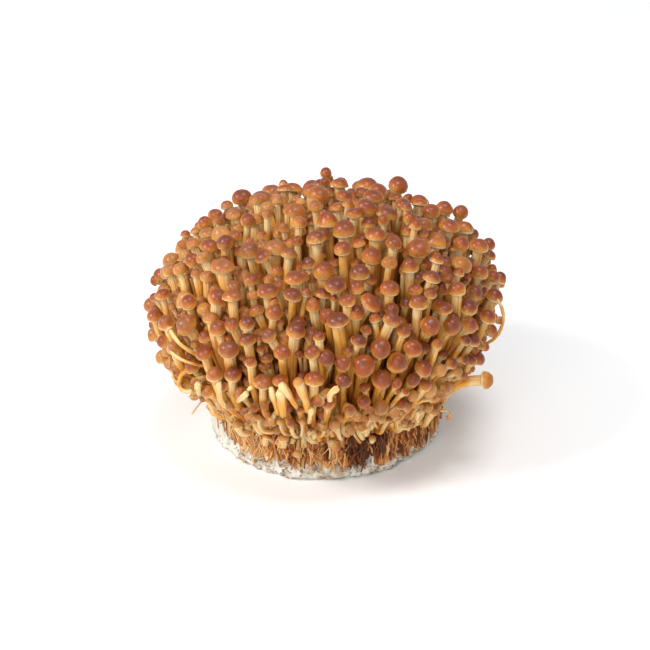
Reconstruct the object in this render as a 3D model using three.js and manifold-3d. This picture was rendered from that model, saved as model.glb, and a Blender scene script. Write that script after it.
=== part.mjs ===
// A bunch of brown enoki mushrooms on the round cake of growing medium that it was raised in.
// Millimetres, +Z up. The origin is the centre of the cake's flat underside, and -Y is the front.
// The bunch is in three tufts. Each is one solid: the stems packed together inside it, which hang over
// the neck of the cake like a collar, and the mushrooms that stand out of them.
import * as THREE from "three";
import { mergeVertices } from "three/addons/utils/BufferGeometryUtils.js";
import Module from "manifold-3d";

const wasm = await Module();
wasm.setup();

// The cake: a low disc with a narrower neck, lumpy round its rim, which bulges and has a worn shoulder.
const CAKE = { radius: 39, rimHeight: 6.5, neckRadius: 37, height: 15, sides: 48 };
const RIM = { edge: 1.4, bulge: 0.3, shoulder: 0.5 };
const CAKE_LUMPS = [
  { waves: 3, height: 0.35, turn: 1.1 },
  { waves: 7, height: 0.25, turn: 2.3 },
  { waves: 13, height: 0.2, turn: 0.4 },
];

// The rounded surface that the outermost caps reach: one half ellipse above its widest level, one below,
// leaning so that it is higher on the right by the given share of the distance from the axis.
const HEAD = { level: 48.5, radius: 61.5, rise: 38, drop: 41, lean: 0.05, lowest: 127 };

// Inside the bunch the stems stand so close that they make one body, as [radius, height]. It stands on
// the cake, and round it a collar of stems pressed side by side hangs over the cake's neck.
const SKIN = 0.4;
const BUNDLE_SIDES = 24;
const BUNDLE_OUTLINE = [
  [0, CAKE.height + SKIN],
  [39, CAKE.height + SKIN],
  [39, 25],
  [43, 36],
  [45, 43],
  [43, 49],
  [34, 54],
  [18, 58],
  [0, 59.5],
];
const COLLAR = { inner: CAKE.neckRadius + SKIN, outer: 40.1, bottom: 7, top: 25 };
const RIBS = { count: 36, height: 0.6 };

// The bunch grew in tufts, which part at upright walls through its axis. Degrees from +X.
const TUFTS = [
  { name: "tuft_front", from: -150, to: -30 },
  { name: "tuft_back_right", from: -30, to: 90 },
  { name: "tuft_back_left", from: 90, to: 210 },
];
const PARTING = 0.4;

// The mushrooms follow a spiral that spreads them evenly from the crown to the lowest cap. Where there
// is no room for a cap of the size drawn, it turns a little round the axis or stays smaller. How a
// single one differs is drawn between two limits.
const SEED = 20261;
const COUNT = 250;
const GOLDEN_ANGLE = Math.PI * (3 - Math.sqrt(5));
const SMALLEST_CAP = 2.9;
const CAP_STEP = 0.2;
const DODGES = [0, 0.05, -0.05, 0.1, -0.1, 0.15, -0.15];
const CLEARANCE = 0.4;
const NATURE = {
  cap: [3.6, 4.8],
  stray: [0.3, 0.7],
  turn: [-0.25, 0.25],
  depth: [0, 5],
  upright: [0.3, 0.6],
  sway: [-0.06, 0.06],
  thickness: [0.34, 0.46],
};

// A stem starts in the cake and reaches its cap along a curve, whose handles are shares of its length.
// The curve is walked in a number of steps to find where the stem comes out of the bundle.
const ROOT = { height: 17.5, radius: 35.5, sunk: 3 };
const CURVE = { lean: 0.1, rise: 0.45, reach: 0.35 };
const STEPS = 24;
const SIDES = 6;

// A cap, as shares of its radius: how far its neck lies under its middle, how high its middle limb
// reaches, and its outline from the margin to the crown as [radius, height over the neck].
const CAP = {
  neck: 0.45,
  limb: 0.35,
  outline: [
    [1, -0.06],
    [0.8, 0.72],
    [0, 1.2],
  ],
};

const PAINT = {
  crust: { color: 0xd9cfbd, roughness: 0.95, metalness: 0 },
  flesh: { color: 0xb5743c, roughness: 0.55, metalness: 0 },
};

// A repeatable stream of numbers from 0 to 1.
function randomStream(seed) {
  let state = seed;
  return () => {
    state = (state * 48271) % 2147483647;
    return state / 2147483647;
  };
}

// A geometry as a solid, with shared vertices merged and the triangles that collapse at a pole dropped.
function solidOf(geometry) {
  const loose = geometry.index ? geometry.toNonIndexed() : geometry;
  const bare = new THREE.BufferGeometry().setAttribute("position", loose.getAttribute("position"));
  const merged = mergeVertices(bare, 1e-4);
  const corners = [];
  for (let i = 0; i < merged.index.count; i += 3) {
    const [a, b, c] = [0, 1, 2].map((k) => merged.index.getX(i + k));
    if (a !== b && b !== c && a !== c) corners.push(a, b, c);
  }
  return new wasm.Manifold(
    new wasm.Mesh({
      numProp: 3,
      vertProperties: merged.attributes.position.array,
      triVerts: new Uint32Array(corners),
    }),
  );
}

function geometryOf(solid) {
  const mesh = solid.getMesh();
  const geometry = new THREE.BufferGeometry();
  geometry.setAttribute("position", new THREE.BufferAttribute(mesh.vertProperties, 3));
  geometry.setIndex(new THREE.BufferAttribute(mesh.triVerts, 1));
  geometry.computeVertexNormals();
  return geometry;
}

function namedMesh(name, solid, paint) {
  const mesh = new THREE.Mesh(geometryOf(solid), new THREE.MeshStandardMaterial(paint));
  mesh.name = name;
  return mesh;
}

// A body turned about the Z axis from an outline of [radius, height] that starts and ends on the axis.
function turned(outline, sides) {
  const points = outline.map(([radius, height]) => new THREE.Vector2(radius, height));
  return new THREE.LatheGeometry(points, sides).rotateX(Math.PI / 2);
}

// Moves each vertex of a turned body in or out by a formula of its angle, radius and height.
function reshape(geometry, swell) {
  const position = geometry.getAttribute("position");
  const v = new THREE.Vector3();
  for (let i = 0; i < position.count; i++) {
    v.fromBufferAttribute(position, i);
    const radius = Math.hypot(v.x, v.y);
    const share = radius > 0 ? 1 + swell(Math.atan2(v.y, v.x), radius, v.z) / radius : 1;
    position.setXYZ(i, v.x * share, v.y * share, v.z);
  }
  return geometry;
}

function cakeSolid() {
  const outline = [
    [0, 0],
    [CAKE.radius - RIM.edge, 0],
    [CAKE.radius, RIM.edge],
    [CAKE.radius + RIM.bulge, CAKE.rimHeight / 2],
    [CAKE.radius - RIM.shoulder, CAKE.rimHeight],
    [CAKE.neckRadius, CAKE.rimHeight],
    [CAKE.neckRadius, CAKE.height],
    [0, CAKE.height],
  ];
  const lumps = (angle, radius) =>
    radius > CAKE.neckRadius + RIM.bulge
      ? CAKE_LUMPS.reduce((sum, l) => sum + l.height * Math.sin(l.waves * angle + l.turn), 0)
      : 0;
  return solidOf(reshape(turned(outline, CAKE.sides), lumps));
}

// The packed stems as one body, before it parts into tufts.
function bundleSolid() {
  const collar = [
    [COLLAR.inner, COLLAR.bottom],
    [COLLAR.outer, COLLAR.bottom],
    [COLLAR.outer, COLLAR.top],
    [COLLAR.inner, COLLAR.top],
    [COLLAR.inner, COLLAR.bottom],
  ];
  const ribs = (angle, radius) =>
    radius > COLLAR.inner + SKIN ? RIBS.height * Math.cos(RIBS.count * angle) : 0;
  const ribbed = solidOf(reshape(turned(collar, RIBS.count * 2), ribs));
  return ribbed.add(solidOf(turned(BUNDLE_OUTLINE, BUNDLE_SIDES)));
}

// The upright wedge between two walls, each set back by half the parting.
function wedgeSolid({ from, to }) {
  const [start, end] = [from, to].map(THREE.MathUtils.degToRad);
  const half = (end - start) / 2;
  const middle = start + half;
  const setBack = PARTING / 2 / Math.sin(half);
  const reach = 2 * HEAD.radius;
  const shape = new THREE.Shape();
  shape.moveTo(setBack * Math.cos(middle), setBack * Math.sin(middle));
  for (const angle of [start, middle, end]) {
    shape.lineTo(
      setBack * Math.cos(middle) + reach * Math.cos(angle),
      setBack * Math.sin(middle) + reach * Math.sin(angle),
    );
  }
  const depth = HEAD.level + HEAD.rise;
  return solidOf(new THREE.ExtrudeGeometry(shape, { depth, bevelEnabled: false }));
}

// The index of the tuft that a point is in, or -1 if the point is within margin of a wall.
function tuftAt(point, margin) {
  const radius = Math.hypot(point.x, point.y);
  const angle = Math.atan2(point.y, point.x);
  let tuft = -1;
  for (let i = 0; i < TUFTS.length; i++) {
    const [from, to] = [TUFTS[i].from, TUFTS[i].to].map(THREE.MathUtils.degToRad);
    const turn = THREE.MathUtils.euclideanModulo(angle - from, 2 * Math.PI);
    if (Math.cos(turn) > 0 && radius * Math.abs(Math.sin(turn)) < margin) return -1;
    if (turn < to - from) tuft = i;
  }
  return radius < margin ? -1 : tuft;
}

// The outline of the bundle with its collar, which caps and other tufts' stems keep clear of.
const HELD_OUTLINE = [
  [0, CAKE.height],
  [COLLAR.inner, CAKE.height],
  [COLLAR.inner, COLLAR.bottom],
  [COLLAR.outer + RIBS.height, COLLAR.bottom],
  [COLLAR.outer + RIBS.height, COLLAR.top],
  ...BUNDLE_OUTLINE.slice(3),
];

// The distance from a point to that outline, below zero inside it.
function distanceToBundle(point) {
  const radius = Math.hypot(point.x, point.y);
  let nearest = Infinity;
  let inside = false;
  for (let i = 0; i + 1 < HELD_OUTLINE.length; i++) {
    const [ra, za] = HELD_OUTLINE[i];
    const [rb, zb] = HELD_OUTLINE[i + 1];
    const [dr, dz] = [rb - ra, zb - za];
    const along = ((radius - ra) * dr + (point.z - za) * dz) / (dr * dr + dz * dz);
    const share = THREE.MathUtils.clamp(along, 0, 1);
    nearest = Math.min(nearest, Math.hypot(radius - ra - share * dr, point.z - za - share * dz));
    if (za <= point.z !== zb <= point.z && radius < ra + ((point.z - za) / dz) * dr) inside = !inside;
  }
  return inside ? -nearest : nearest;
}

// The share of the head's surface that lies above an angle from its crown, for steps of that angle.
function surfaceTable() {
  const lowest = THREE.MathUtils.degToRad(HEAD.lowest);
  const areas = [0];
  for (let i = 0; i < COUNT; i++) {
    const polar = ((i + 0.5) / COUNT) * lowest;
    const half = polar < Math.PI / 2 ? HEAD.rise : HEAD.drop;
    const slope = Math.hypot(HEAD.radius * Math.cos(polar), half * Math.sin(polar));
    areas.push(areas[i] + Math.sin(polar) * slope);
  }
  return areas.map((area) => area / areas[COUNT]);
}

// The angle from the crown that has that share of the surface above it.
function polarAt(share, table) {
  const next = table.findIndex((area) => area >= share);
  const part = (share - table[next - 1]) / (table[next] - table[next - 1]);
  return ((next - 1 + part) / COUNT) * THREE.MathUtils.degToRad(HEAD.lowest);
}

// A mushroom with a cap of a given radius at an angle round the axis. The cap reaches the head's
// surface or lies depth under it, and the stem starts on the cake, as far out there as the cap is on
// the head. Only the length of stem that stands out of the bundle is modelled, sunk a little way in.
function mushroomWith(cap, around, { share, polar, depth, upright, sway, thickness }) {
  const stem = cap * thickness;
  const half = polar < Math.PI / 2 ? HEAD.rise : HEAD.drop;
  const out = new THREE.Vector3(Math.cos(around), Math.sin(around), 0);
  const normal = out.clone().multiplyScalar(Math.sin(polar) / HEAD.radius);
  normal.z = Math.cos(polar) / half;
  normal.normalize();
  const axis = normal.clone().multiplyScalar(1 - upright);
  axis.z += upright;
  axis.normalize();
  const neck = out.clone().multiplyScalar(HEAD.radius * Math.sin(polar));
  neck.z = HEAD.level + half * Math.cos(polar) + HEAD.lean * neck.x;
  neck.addScaledVector(normal, -cap - depth).addScaledVector(axis, -CAP.neck * cap);
  const root = new THREE.Vector3(Math.cos(around + sway), Math.sin(around + sway), 0);
  root.multiplyScalar(ROOT.radius * Math.sqrt(share));
  root.z = ROOT.height;
  const length = root.distanceTo(neck);
  const afterRoot = out.clone().multiplyScalar(CURVE.lean * length);
  afterRoot.z = CURVE.rise * length;
  const beforeNeck = neck.clone().addScaledVector(axis, -CURVE.reach * length);
  const path = new THREE.CubicBezierCurve3(root, afterRoot.add(root), beforeNeck, neck);
  const joints = jointsOf(path, stem);
  const limbs = limbsOf(path, joints, axis, cap, stem);
  return { path, axis, cap, stem, joints, limbs, tuft: tuftAt(root, stem) };
}

// The places along the path, from 0 to 1, of the rings that the modelled stem is built on: where it is
// sunk in the bundle, at its middle if it bends, and at the neck.
function jointsOf(path, stem) {
  let step = STEPS - 1;
  while (step > 0 && distanceToBundle(path.getPoint(step / STEPS)) > -ROOT.sunk) step--;
  const start = step / STEPS;
  const middle = (start + 1) / 2;
  const chordMiddle = path.getPoint(start).add(path.v3).multiplyScalar(0.5);
  const bends = path.getPoint(middle).distanceTo(chordMiddle) > stem;
  return bends ? [start, middle, 1] : [start, 1];
}

// The rounded limbs that a mushroom stays within: the lengths of its stem, and last its cap.
function limbsOf(path, joints, axis, cap, stem) {
  const points = joints.map((t) => path.getPoint(t));
  const lengths = points.slice(1).map((end, i) => ({ line: new THREE.Line3(points[i], end), radius: stem }));
  const inCap = path.v3.clone().addScaledVector(axis, CAP.limb * cap);
  return [...lengths, { line: new THREE.Line3(path.v3, inCap), radius: cap }];
}

// Whether a mushroom's stem keeps within its own tuft's walls in the bundle, and its cap out of it.
function keepsToTuft({ tuft, limbs }) {
  if (tuft < 0) return false;
  const at = new THREE.Vector3();
  return limbs.every(({ line, radius }, i) => {
    const isCap = i === limbs.length - 1;
    const steps = Math.ceil(line.distance());
    for (let step = 0; step <= steps; step++) {
      line.at(step / steps, at);
      if (distanceToBundle(at) > radius + CLEARANCE) continue;
      if (isCap || tuftAt(at, radius + CLEARANCE) !== tuft) return false;
    }
    return true;
  });
}

function hasRoom(mushroom, placed) {
  return placed.every((other) =>
    mushroom.limbs.every((a) =>
      other.limbs.every((b) => {
        const apart = a.radius + b.radius + CLEARANCE;
        return a.line.distanceSqToLine3(b.line) >= apart * apart;
      }),
    ),
  );
}

// The mushroom of a given nature with the largest cap that there is room for, if any.
function grown(nature, placed) {
  for (let cap = nature.cap; cap >= SMALLEST_CAP; cap -= CAP_STEP) {
    for (const dodge of DODGES) {
      const mushroom = mushroomWith(cap, nature.around + dodge, nature);
      if (keepsToTuft(mushroom) && hasRoom(mushroom, placed)) return mushroom;
    }
  }
  return null;
}

function placeMushrooms() {
  const random = randomStream(SEED);
  const draw = ([low, high]) => THREE.MathUtils.lerp(low, high, random());
  const table = surfaceTable();
  const placed = [];
  for (let i = 0; i < COUNT; i++) {
    const share = (i + draw(NATURE.stray)) / COUNT;
    const nature = {
      share,
      polar: polarAt(share, table),
      around: i * GOLDEN_ANGLE + draw(NATURE.turn) / Math.sqrt(i + 1),
      cap: draw(NATURE.cap),
      depth: draw(NATURE.depth) * random(),
      upright: draw(NATURE.upright),
      sway: draw(NATURE.sway),
      thickness: draw(NATURE.thickness),
    };
    const mushroom = grown(nature, placed);
    if (mushroom) placed.push(mushroom);
  }
  return placed;
}

// One mushroom: rings from the sunk end of the stem to the crown of the cap, each set square to the
// path at its place on it or, past the neck, to the axis of the cap.
function mushroomSolid({ path, joints, axis, cap, stem }) {
  const rings = [
    { radius: 0, place: joints[0], beyond: 0 },
    ...joints.map((place) => ({ radius: stem, place, beyond: 0 })),
    ...CAP.outline.map(([radius, height]) => ({ radius: radius * cap, place: 1, beyond: height * cap })),
  ];
  const geometry = turned(rings.map(({ radius }, i) => [radius, i]), SIDES);
  const position = geometry.getAttribute("position");
  const v = new THREE.Vector3();
  const turn = new THREE.Quaternion();
  const up = new THREE.Vector3(0, 0, 1);
  for (let i = 0; i < position.count; i++) {
    v.fromBufferAttribute(position, i);
    const { place, beyond } = rings[Math.round(v.z)];
    turn.setFromUnitVectors(up, place < 1 ? path.getTangent(place) : axis);
    v.z = beyond;
    v.applyQuaternion(turn).add(path.getPoint(place));
    position.setXYZ(i, v.x, v.y, v.z);
  }
  return solidOf(geometry);
}

const bunch = new THREE.Group();
bunch.add(namedMesh("growing_cake", cakeSolid(), PAINT.crust));

const mushrooms = placeMushrooms();
const bundle = bundleSolid();
TUFTS.forEach((tuft, i) => {
  const standing = mushrooms.filter((m) => m.tuft === i).map(mushroomSolid);
  const stems = bundle.intersect(wedgeSolid(tuft));
  bunch.add(namedMesh(tuft.name, wasm.Manifold.union([stems, ...standing]), PAINT.flesh));
});

export default bunch;
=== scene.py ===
"""The looks of the enoki mushroom bunch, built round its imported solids.

The bunch stands on the round cake of growing medium that it was raised in. Sizes are worked out in
millimetres and set into the meshes in metres. +Z is up, and -Y is the side that the camera sees.
"""

import logging
import math
import random
from collections.abc import Callable, Iterator
from dataclasses import dataclass, field
from enum import Enum

import bmesh
import bpy
import numpy as np
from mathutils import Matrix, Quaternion, Vector, noise
from mathutils.geometry import interpolate_bezier


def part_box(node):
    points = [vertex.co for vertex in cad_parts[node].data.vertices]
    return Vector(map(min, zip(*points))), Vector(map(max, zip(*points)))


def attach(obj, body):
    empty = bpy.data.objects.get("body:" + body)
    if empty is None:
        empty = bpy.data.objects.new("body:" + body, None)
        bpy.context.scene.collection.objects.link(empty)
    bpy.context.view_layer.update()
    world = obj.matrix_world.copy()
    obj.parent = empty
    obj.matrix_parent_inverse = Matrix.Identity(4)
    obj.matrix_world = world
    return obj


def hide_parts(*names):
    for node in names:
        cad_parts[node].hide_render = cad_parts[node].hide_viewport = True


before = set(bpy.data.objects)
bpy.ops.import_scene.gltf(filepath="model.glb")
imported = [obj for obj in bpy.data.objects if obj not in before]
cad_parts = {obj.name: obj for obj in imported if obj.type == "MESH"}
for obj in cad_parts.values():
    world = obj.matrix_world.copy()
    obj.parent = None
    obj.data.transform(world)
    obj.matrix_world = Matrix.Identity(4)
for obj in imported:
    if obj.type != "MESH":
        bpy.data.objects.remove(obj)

MM = 0.001
UP = Vector((0.0, 0.0, 1.0))
SEED = 20261
# Each tuft starts at its own wall, given in degrees round the axis, and ends at the next one.
TUFTS = ("tuft_front", "tuft_back_right", "tuft_back_left")
TUFT_WALLS = (-150.0, -30.0, 90.0)
CAKE = "growing_cake"

log = logging.getLogger("enoki")

Colour = tuple[float, float, float, float]
Bend = Callable[[Vector], Vector]


# Measures


def clamped(value: float) -> float:
    """Keeps a number from 0 to 1."""
    return min(1.0, max(0.0, value))


def outward(around: float) -> Vector:
    """Gives the level direction at an angle round the axis."""
    return Vector((math.cos(around), math.sin(around), 0.0))


def nearness(point: Vector, angle: float, width: float) -> float:
    """Tells how near a point lies to an angle round the axis.

    Args:
        point: The point.
        angle: The angle.
        width: How far round from there the result has fallen to about a third.

    Returns:
        A number that is 1 at the angle and falls smoothly to 0.
    """
    turn = math.remainder(math.atan2(point.y, point.x) - angle, math.tau) / width
    return math.exp(-turn * turn)


# Shader tools


def paint(code: str) -> Colour:
    """Turns a colour as a screen shows it into the linear one that a shader works with.

    Args:
        code: The colour as six hexadecimal digits.

    Returns:
        The linear colour, opaque.
    """
    parts = [int(code[i : i + 2], 16) / 255 for i in (0, 2, 4)]
    linear = [p / 12.92 if p <= 0.04045 else ((p + 0.055) / 1.055) ** 2.4 for p in parts]
    return (linear[0], linear[1], linear[2], 1.0)


class Signal:
    """A number that a material works out at each point, with the arithmetic that the finishes use."""

    def __init__(self, sheet: "NodeSheet", socket: bpy.types.NodeSocket) -> None:
        """Wraps a socket of a material's nodes."""
        self.sheet = sheet
        self.socket = socket

    def _math(self, operation: str, *terms: "Signal | float") -> "Signal":
        """Adds a Math node on the given terms."""
        node = self.sheet.node("ShaderNodeMath", {"operation": operation}, dict(enumerate(terms)))
        return Signal(self.sheet, node.outputs[0])

    def __add__(self, other: "Signal | float") -> "Signal":
        """Adds a number or a signal."""
        return self._math("ADD", self, other)

    __radd__ = __add__

    def __sub__(self, other: "Signal | float") -> "Signal":
        """Takes a number or a signal away."""
        return self._math("SUBTRACT", self, other)

    def __rsub__(self, other: "Signal | float") -> "Signal":
        """Takes this signal away from a number."""
        return self._math("SUBTRACT", other, self)

    def __mul__(self, other: "Signal | float") -> "Signal":
        """Multiplies by a number or a signal."""
        return self._math("MULTIPLY", self, other)

    def step(self, low: float, high: float) -> "Signal":
        """Rises smoothly from 0 at one value to 1 at another.

        Args:
            low: The value at which the result is 0.
            high: The value at which it is 1.

        Returns:
            The smooth step.
        """
        settings = {"interpolation_type": "SMOOTHSTEP"}
        node = self.sheet.node("ShaderNodeMapRange", settings, {0: self, 1: low, 2: high})
        return Signal(self.sheet, node.outputs[0])


Feed = Signal | bpy.types.NodeSocket | float | tuple[float, ...]


class NodeSheet:
    """The nodes of one material."""

    def __init__(self, name: str) -> None:
        """Starts an empty material.

        Args:
            name: The material's name.
        """
        self.material = bpy.data.materials.new(name)
        self.material.use_nodes = True
        self.tree = self.material.node_tree
        self.tree.nodes.clear()

    def node(
        self,
        kind: str,
        settings: dict[str, object] | None = None,
        inputs: dict[int | str, Feed] | None = None,
    ) -> bpy.types.Node:
        """Adds a node.

        Args:
            kind: The node's type.
            settings: The node's own settings, such as a Math node's operation.
            inputs: The values or links of its sockets, by name or place.

        Returns:
            The new node.
        """
        node = self.tree.nodes.new(kind)
        for key, value in (settings or {}).items():
            setattr(node, key, value)
        for key, value in (inputs or {}).items():
            feed = value.socket if isinstance(value, Signal) else value
            if isinstance(feed, bpy.types.NodeSocket):
                self.tree.links.new(feed, node.inputs[key])
            else:
                node.inputs[key].default_value = feed
        return node

    def blend(self, share: Feed, start: Feed, end: Feed) -> bpy.types.NodeSocket:
        """Mixes two colours.

        Args:
            share: How much of the second colour there is, from 0 to 1.
            start: The first colour.
            end: The second colour.

        Returns:
            The socket of the mixed colour.
        """
        node = self.node("ShaderNodeMix", {"data_type": "RGBA"}, {0: share, 6: start, 7: end})
        return node.outputs[2]

    def shade(self, colour: Feed, by: Feed) -> bpy.types.NodeSocket:
        """Multiplies a colour by a number at each point."""
        node = self.node("ShaderNodeVectorMath", {"operation": "SCALE"}, {0: colour, "Scale": by})
        return node.outputs[0]

    def point(self) -> bpy.types.NodeSocket:
        """Gives the point itself, in metres."""
        return self.node("ShaderNodeTexCoord").outputs["Object"]

    def own(self, name: str) -> Signal:
        """Reads a number that each copy of a shape has of its own."""
        return Signal(self, self.node("ShaderNodeAttribute", {"attribute_name": name}).outputs["Fac"])

    def place(self) -> tuple[bpy.types.NodeSocket, Signal]:
        """Reads where a point lies on its shape.

        Returns:
            The socket of the place, and the place's third number by itself.
        """
        place = self.node("ShaderNodeAttribute", {"attribute_name": "place"}).outputs["Vector"]
        parts = self.node("ShaderNodeSeparateXYZ", inputs={0: place})
        return place, Signal(self, parts.outputs[2])

    def grain(self, at: Feed, scale: float, detail: float, spread: Feed = (1, 1, 1)) -> Signal:
        """Adds a soft random pattern.

        Args:
            at: The point that the pattern is read at.
            scale: How many times it repeats in a unit.
            detail: How many finer patterns lie on it.
            spread: What each direction is multiplied by first.

        Returns:
            The pattern, mostly from 0.3 to 0.7.
        """
        settings = {"operation": "MULTIPLY"}
        wide = self.node("ShaderNodeVectorMath", settings, {0: at, 1: spread}).outputs[0]
        inputs = {"Vector": wide, "Scale": scale, "Detail": detail}
        return Signal(self, self.node("ShaderNodeTexNoise", inputs=inputs).outputs[0])

    def relief(self, height: Signal, depth: float) -> bpy.types.NodeSocket:
        """Turns a height pattern into a normal.

        Args:
            height: The pattern, from 0 to 1.
            depth: Its height in metres.

        Returns:
            The socket of the normal.
        """
        inputs = {"Strength": 1.0, "Distance": depth, "Height": height}
        return self.node("ShaderNodeBump", inputs=inputs).outputs[0]

    def finish(self, inputs: dict[int | str, Feed]) -> bpy.types.Material:
        """Ends the material in one Principled shader.

        Args:
            inputs: The shader's values and links.

        Returns:
            The material.
        """
        shader = self.node("ShaderNodeBsdfPrincipled", inputs=inputs)
        self.node("ShaderNodeOutputMaterial", inputs={"Surface": shader.outputs[0]})
        return self.material


# Finishes


@dataclass(frozen=True)
class CapSkin:
    """The thin moist skin of a cap: brown on the crown, golden to the margin, with a pale rim that is
    partly its own colour and partly painted rim light.
    """

    crown: str = "86401C"
    side: str = "AA5014"
    margin: str = "E29C3C"
    pale_rim_and_rim_light: str = "FCE2AE"
    gills: str = "DCA250"
    dark: str = "6C2E1C"
    golden: str = "BC7828"
    young: str = "DCA45E"

    def material(self) -> bpy.types.Material:
        """Builds the material.

        Returns:
            The material.
        """
        sheet = NodeSheet("cap_skin")
        down = sheet.place()[1]
        tone = sheet.own("tone")
        point = sheet.point()
        patches = sheet.grain(point, 260.0, 3.0)
        freckles = sheet.grain(point, 1400.0, 2.0)
        edge = down + (patches - 0.5) * 0.5
        skin = sheet.blend(edge.step(0.05, 0.5), paint(self.crown), paint(self.side))
        # Tone and paleness are raised on the left side as painted light, so these mixes make caps there
        # more golden and ochre, and leave more of the dark on the right as painted shade; the rest of
        # their spread is each cap's own.
        skin = sheet.blend(tone.step(0.5, 0.0) * 0.7, skin, paint(self.dark))
        skin = sheet.blend(tone.step(0.55, 1.0) * 0.75, skin, paint(self.golden))
        skin = sheet.blend(edge.step(0.4, 0.86) * 0.88, skin, paint(self.margin))
        # The thin pale line at the margin: partly the rim's own paler colour, partly painted rim light.
        skin = sheet.blend(down.step(0.8, 0.92), skin, paint(self.pale_rim_and_rim_light))
        skin = sheet.blend(down.step(1.1, 1.4), skin, paint(self.gills))
        skin = sheet.blend(sheet.own("pale") * 0.8, skin, paint(self.young))
        skin = sheet.shade(skin, 0.38 + patches * 0.54 + freckles * 0.33)
        return sheet.finish(
            {
                "Base Color": skin,
                "Roughness": 0.4 + freckles * 0.2,
                "Specular IOR Level": 0.12,
                "Coat Weight": 0.65,
                "Coat Roughness": 0.3,
                "Sheen Weight": 0.05,
                "Sheen Roughness": 0.4,
                "Sheen Tint": (1.0, 0.86, 0.76, 1.0),
                "Subsurface Weight": 0.3,
                "Subsurface Radius": (1.0, 0.35, 0.1),
                "Subsurface Scale": 0.0014,
                "Normal": sheet.relief(patches * 0.5 + freckles * 0.5, 0.0006),
            }
        )


@dataclass(frozen=True)
class StemFlesh:
    """The fibrous flesh of a stem: cream under the cap, amber below, orange-brown at the foot. Its
    darkening with depth into the bunch is partly the stem's own colour and partly painted shade.

    The lengths are millimetres below the cap.
    """

    foot: str = "D87418"
    amber: str = "F6AE42"
    cream: str = "FCDA9C"
    fibre: str = "C87428"
    cream_end: float = 9.0
    amber_end: float = 30.0

    def material(self) -> bpy.types.Material:
        """Builds the material.

        Returns:
            The material.
        """
        sheet = NodeSheet("stem_flesh")
        place, below = sheet.place()
        tone = sheet.own("tone")
        pale = sheet.own("pale")
        point = sheet.point()
        patches = sheet.grain(point, 190.0, 2.0)
        drift = sheet.node("ShaderNodeCombineXYZ", inputs={2: tone * 400.0})
        settings = {"operation": "ADD"}
        strand = sheet.node("ShaderNodeVectorMath", settings, {0: place, 1: drift.outputs[0]})
        fibres = sheet.grain(strand.outputs[0], 3.4, 3.0, (1.0, 1.0, 0.016))
        # Deep in the bunch the flesh turns amber and orange-brown: partly the stem's own colour, partly
        # painted shade. Pale stems stay cream further down, and paleness is raised on the left side as
        # painted light.
        deep = below * (1.25 - pale * 0.9) + (patches - 0.5) * 22.0
        flesh = sheet.blend(deep.step(0.0, self.cream_end), paint(self.cream), paint(self.amber))
        flesh = sheet.blend(deep.step(self.cream_end, self.amber_end), flesh, paint(self.foot))
        flesh = sheet.blend(fibres.step(0.5, 0.66) * 0.5, flesh, paint(self.fibre))
        flesh = sheet.blend(fibres.step(0.47, 0.34) * 0.3, flesh, paint(self.cream))
        # A higher tone lightens the flesh; tone is raised on the left side as painted light.
        flesh = sheet.shade(flesh, 0.68 + tone * 0.22)
        return sheet.finish(
            {
                "Base Color": flesh,
                "Roughness": 0.45 + fibres * 0.2,
                "Specular IOR Level": 0.25,
                "Subsurface Weight": 0.35,
                "Subsurface Radius": (1.0, 0.5, 0.2),
                "Subsurface Scale": 0.0018,
                "Normal": sheet.relief(fibres, 0.0006),
            }
        )


@dataclass(frozen=True)
class MattedButts:
    """The thin dry butts that are matted over the side of the cake, white where mycelium covers them."""

    straw: str = "E8AC68"
    rust: str = "BB661F"
    dark: str = "5C2E12"
    cream: str = "F4DCB0"
    white: str = "E0DACC"

    def material(self) -> bpy.types.Material:
        """Builds the material.

        Returns:
            The material.
        """
        sheet = NodeSheet("matted_butts")
        tone = sheet.own("tone")
        pale = sheet.own("pale")
        point = sheet.point()
        patches = sheet.grain(point, 95.0, 3.0)
        crumbs = sheet.grain(point, 700.0, 3.0)
        fibres = sheet.grain(point, 1100.0, 3.0, (1.0, 1.0, 0.1))
        # The tone carries the mat's painted shade and light: low in the cavities, so the dark mixes in
        # there as painted shade, and higher to the left as painted light.
        hue = tone + (patches - 0.5) * 1.2 + (fibres - 0.5) * 1.2
        flesh = sheet.blend(hue.step(0.1, 0.7), paint(self.rust), paint(self.straw))
        flesh = sheet.blend(hue.step(0.7, 1.15) * 0.8, flesh, paint(self.cream))
        flesh = sheet.blend(hue.step(0.2, -0.2) * 0.9, flesh, paint(self.dark))
        flesh = sheet.blend((pale + (crumbs - 0.5) * 1.2).step(0.35, 0.65), flesh, paint(self.white))
        flesh = sheet.shade(flesh, 0.55 + fibres * 0.6)
        return sheet.finish(
            {
                "Base Color": flesh,
                "Roughness": 0.7 + fibres * 0.2,
                "Subsurface Weight": 0.25,
                "Subsurface Radius": (1.0, 0.5, 0.2),
                "Subsurface Scale": 0.001,
                "Normal": sheet.relief(fibres * 0.7 + crumbs * 0.3, 0.0008),
            }
        )


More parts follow.
